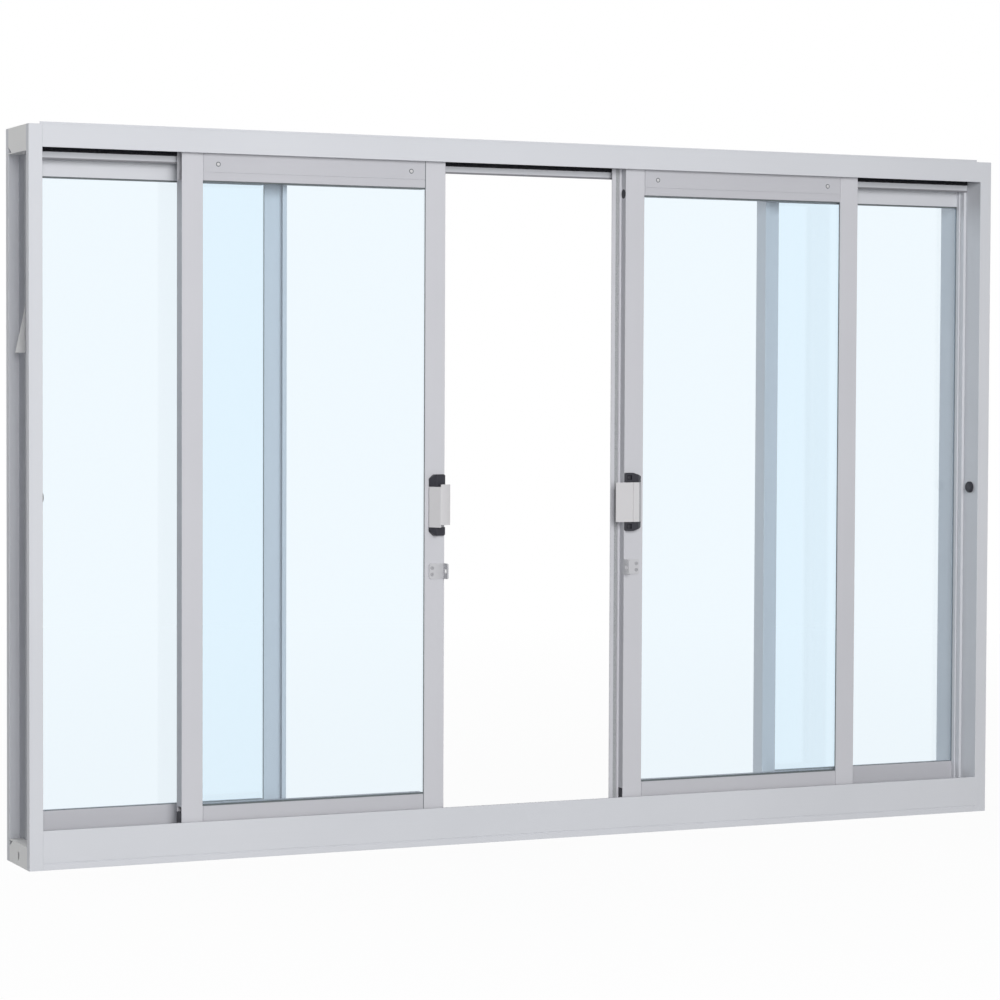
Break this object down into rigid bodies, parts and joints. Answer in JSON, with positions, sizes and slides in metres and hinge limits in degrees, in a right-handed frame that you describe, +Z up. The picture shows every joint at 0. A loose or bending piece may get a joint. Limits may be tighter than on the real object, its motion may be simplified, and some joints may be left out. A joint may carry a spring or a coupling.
{
  "type": "horizontal sliding window",
  "caption": "Aluminium horizontal sliding window: fixed outer lights, sliding inner sashes on a roller rail, a centre latch and padlock hasps.",
  "frame": {"origin": "middle of the sill's base: centre of the width and of the frame's depth, at the level that the sill stands on", "axes": "+Z up, +X along the width to the right as seen from the room, +Y through the wall from the room to the outside"},
  "size_m": [1.52, 0.1184, 1.004],
  "materials": {
    "frame_metal": "satin natural anodised",
    "sash_metal": "satin natural anodised",
    "hardware_metal": "satin",
    "pane": "clear float",
    "seal": "matt",
    "black_nylon": "moulded"
  },
  "bodies": {
    "frame": {"bumpers": "black_nylon", "corner_plates_left": "frame_metal", "corner_plates_right": "frame_metal", "fixed_left_bottom_rail": "frame_metal", "fixed_left_gasket": "seal", "fixed_left_glass": "pane", "fixed_left_inner_stile": "frame_metal", "fixed_left_top_rail": "frame_metal", "fixed_right_bottom_rail": "frame_metal", "fixed_right_gasket": "seal", "fixed_right_glass": "pane", "fixed_right_inner_stile": "frame_metal", "fixed_right_top_rail": "frame_metal", "head": "frame_metal", "jamb_left": "frame_metal", "jamb_right": "frame_metal", "sill": "frame_metal", "wall_anchors": "frame_metal"},
    "sash_left": {"sash_left_bottom_rail": "sash_metal", "sash_left_end_blocks": "black_nylon", "sash_left_gasket": "seal", "sash_left_glass": "pane", "sash_left_hasp": "hardware_metal", "sash_left_latch_caps": "black_nylon", "sash_left_latch_cover": "hardware_metal", "sash_left_meeting_stile": "sash_metal", "sash_left_outer_stile": "sash_metal", "sash_left_rollers": "black_nylon", "sash_left_top_guides": "black_nylon", "sash_left_top_rail": "sash_metal"},
    "sash_right": {"sash_right_bottom_rail": "sash_metal", "sash_right_end_blocks": "black_nylon", "sash_right_gasket": "seal", "sash_right_glass": "pane", "sash_right_hasp": "hardware_metal", "sash_right_latch_caps": "black_nylon", "sash_right_latch_cover": "hardware_metal", "sash_right_meeting_stile": "sash_metal", "sash_right_outer_stile": "sash_metal", "sash_right_overlap_strip": "sash_metal", "sash_right_plug": "black_nylon", "sash_right_rollers": "black_nylon", "sash_right_top_guides": "black_nylon", "sash_right_top_rail": "sash_metal"}
  },
  "joints": [
    {"name": "sash_left_slide", "type": "slide", "parent": "frame", "child": "sash_left", "axis": [1, 0, 0], "range_m": [-0.188, 0.148]},
    {"name": "sash_right_slide", "type": "slide", "parent": "frame", "child": "sash_right", "axis": [1, 0, 0], "range_m": [-0.1335, 0.202]}
  ]
}
